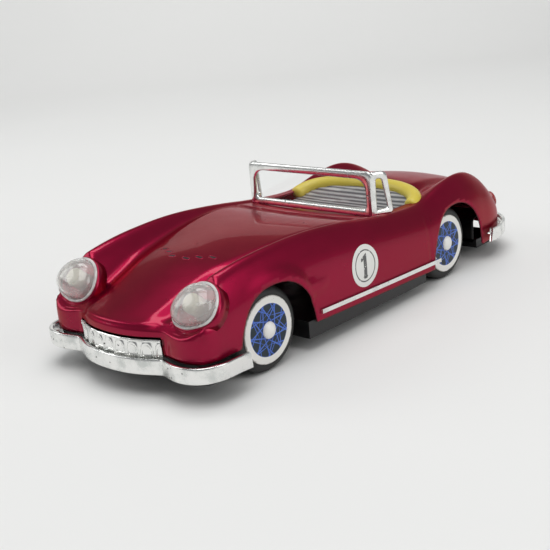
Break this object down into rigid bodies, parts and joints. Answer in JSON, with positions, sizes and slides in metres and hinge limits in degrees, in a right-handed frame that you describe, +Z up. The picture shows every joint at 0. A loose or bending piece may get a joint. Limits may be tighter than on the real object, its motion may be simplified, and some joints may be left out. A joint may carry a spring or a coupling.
{
  "type": "friction tin car",
  "caption": "Open two-seat friction-drive toy car of pressed tin with a windscreen, domed headlamps, bright bumpers and a geared flywheel motor on its rear axle.",
  "frame": {"origin": "on the floor under the middle of the car's bounding box", "axes": "+X towards the car's left side, +Y from the nose to the tail, +Z up"},
  "size_m": [0.104, 0.2696, 0.0676],
  "materials": {
    "red_lacquer": "glossy crimson lacquer over pressed tin",
    "black_tin": "semi-gloss black lacquer",
    "bright_tin": "bright plating with age spots",
    "clear_pane": "clear celluloid sheet",
    "printed_tin": "grey litho print of pleated trim",
    "yellow_vinyl": "soft shiny yellow",
    "clear_lens": "clear moulded lens",
    "white_plastic": "white moulded bulb",
    "red_lens": "red moulded lens",
    "black_rubber": "matt black rubber",
    "printed_disc": "white litho print with blue spokes",
    "black_plastic": "plain black moulding",
    "white_cap": "white moulded cap",
    "steel_wire": "drawn steel",
    "brass_gear": "stamped brass",
    "lead_flywheel": "grey cast metal",
    "plain_tin": "bare tinplate"
  },
  "bodies": {
    "car": {"body_shell": "red_lacquer", "base_plate": "black_tin", "front_bumper": "bright_tin", "rear_bumper": "bright_tin", "windscreen_frame": "bright_tin", "windscreen_pane": "clear_pane", "cockpit_insert": "printed_tin", "seat_roll": "yellow_vinyl", "lamp_lens_left": "clear_lens", "lamp_lens_right": "clear_lens", "lamp_bulb_left": "white_plastic", "lamp_bulb_right": "white_plastic", "tail_lens_left": "red_lens", "tail_lens_right": "red_lens", "sill_strip_left": "bright_tin", "sill_strip_right": "bright_tin", "motor_plate_left": "plain_tin", "motor_plate_right": "plain_tin", "motor_pillars": "plain_tin"},
    "front_wheels": {"front_axle": "steel_wire", "tyre_front_left": "black_rubber", "tyre_front_right": "black_rubber", "disc_front_left": "printed_disc", "disc_front_right": "printed_disc", "core_front_left": "black_plastic", "core_front_right": "black_plastic", "cap_front_left": "white_cap", "cap_front_right": "white_cap"},
    "rear_wheels": {"rear_axle": "steel_wire", "axle_gear": "brass_gear", "tyre_rear_left": "black_rubber", "tyre_rear_right": "black_rubber", "disc_rear_left": "printed_disc", "disc_rear_right": "printed_disc", "core_rear_left": "black_plastic", "core_rear_right": "black_plastic", "cap_rear_left": "white_cap", "cap_rear_right": "white_cap"},
    "idler": {"idler_shaft": "steel_wire", "idler_pinion": "brass_gear", "idler_gear": "brass_gear"},
    "flywheel_set": {"flywheel_shaft": "steel_wire", "flywheel_pinion": "brass_gear", "flywheel": "lead_flywheel"}
  },
  "joints": [
    {"name": "front_axle_spin", "type": "hinge", "parent": "car", "child": "front_wheels", "pos_m": [0, -0.08475, 0.019], "axis": [1, 0, 0], "continuous": true},
    {"name": "rear_axle_spin", "type": "hinge", "parent": "car", "child": "rear_wheels", "pos_m": [0, 0.05625, 0.019], "axis": [1, 0, 0], "continuous": true},
    {"name": "idler_spin", "type": "hinge", "parent": "car", "child": "idler", "pos_m": [0, 0.0436, 0.019], "axis": [1, 0, 0], "continuous": true},
    {"name": "flywheel_spin", "type": "hinge", "parent": "car", "child": "flywheel_set", "pos_m": [0, 0.03155, 0.019], "axis": [1, 0, 0], "continuous": true}
  ],
  "couplings": [
    {"joint": "idler_spin", "follows": "rear_axle_spin", "ratio": -3.2},
    {"joint": "flywheel_spin", "follows": "rear_axle_spin", "ratio": 9.6}
  ]
}
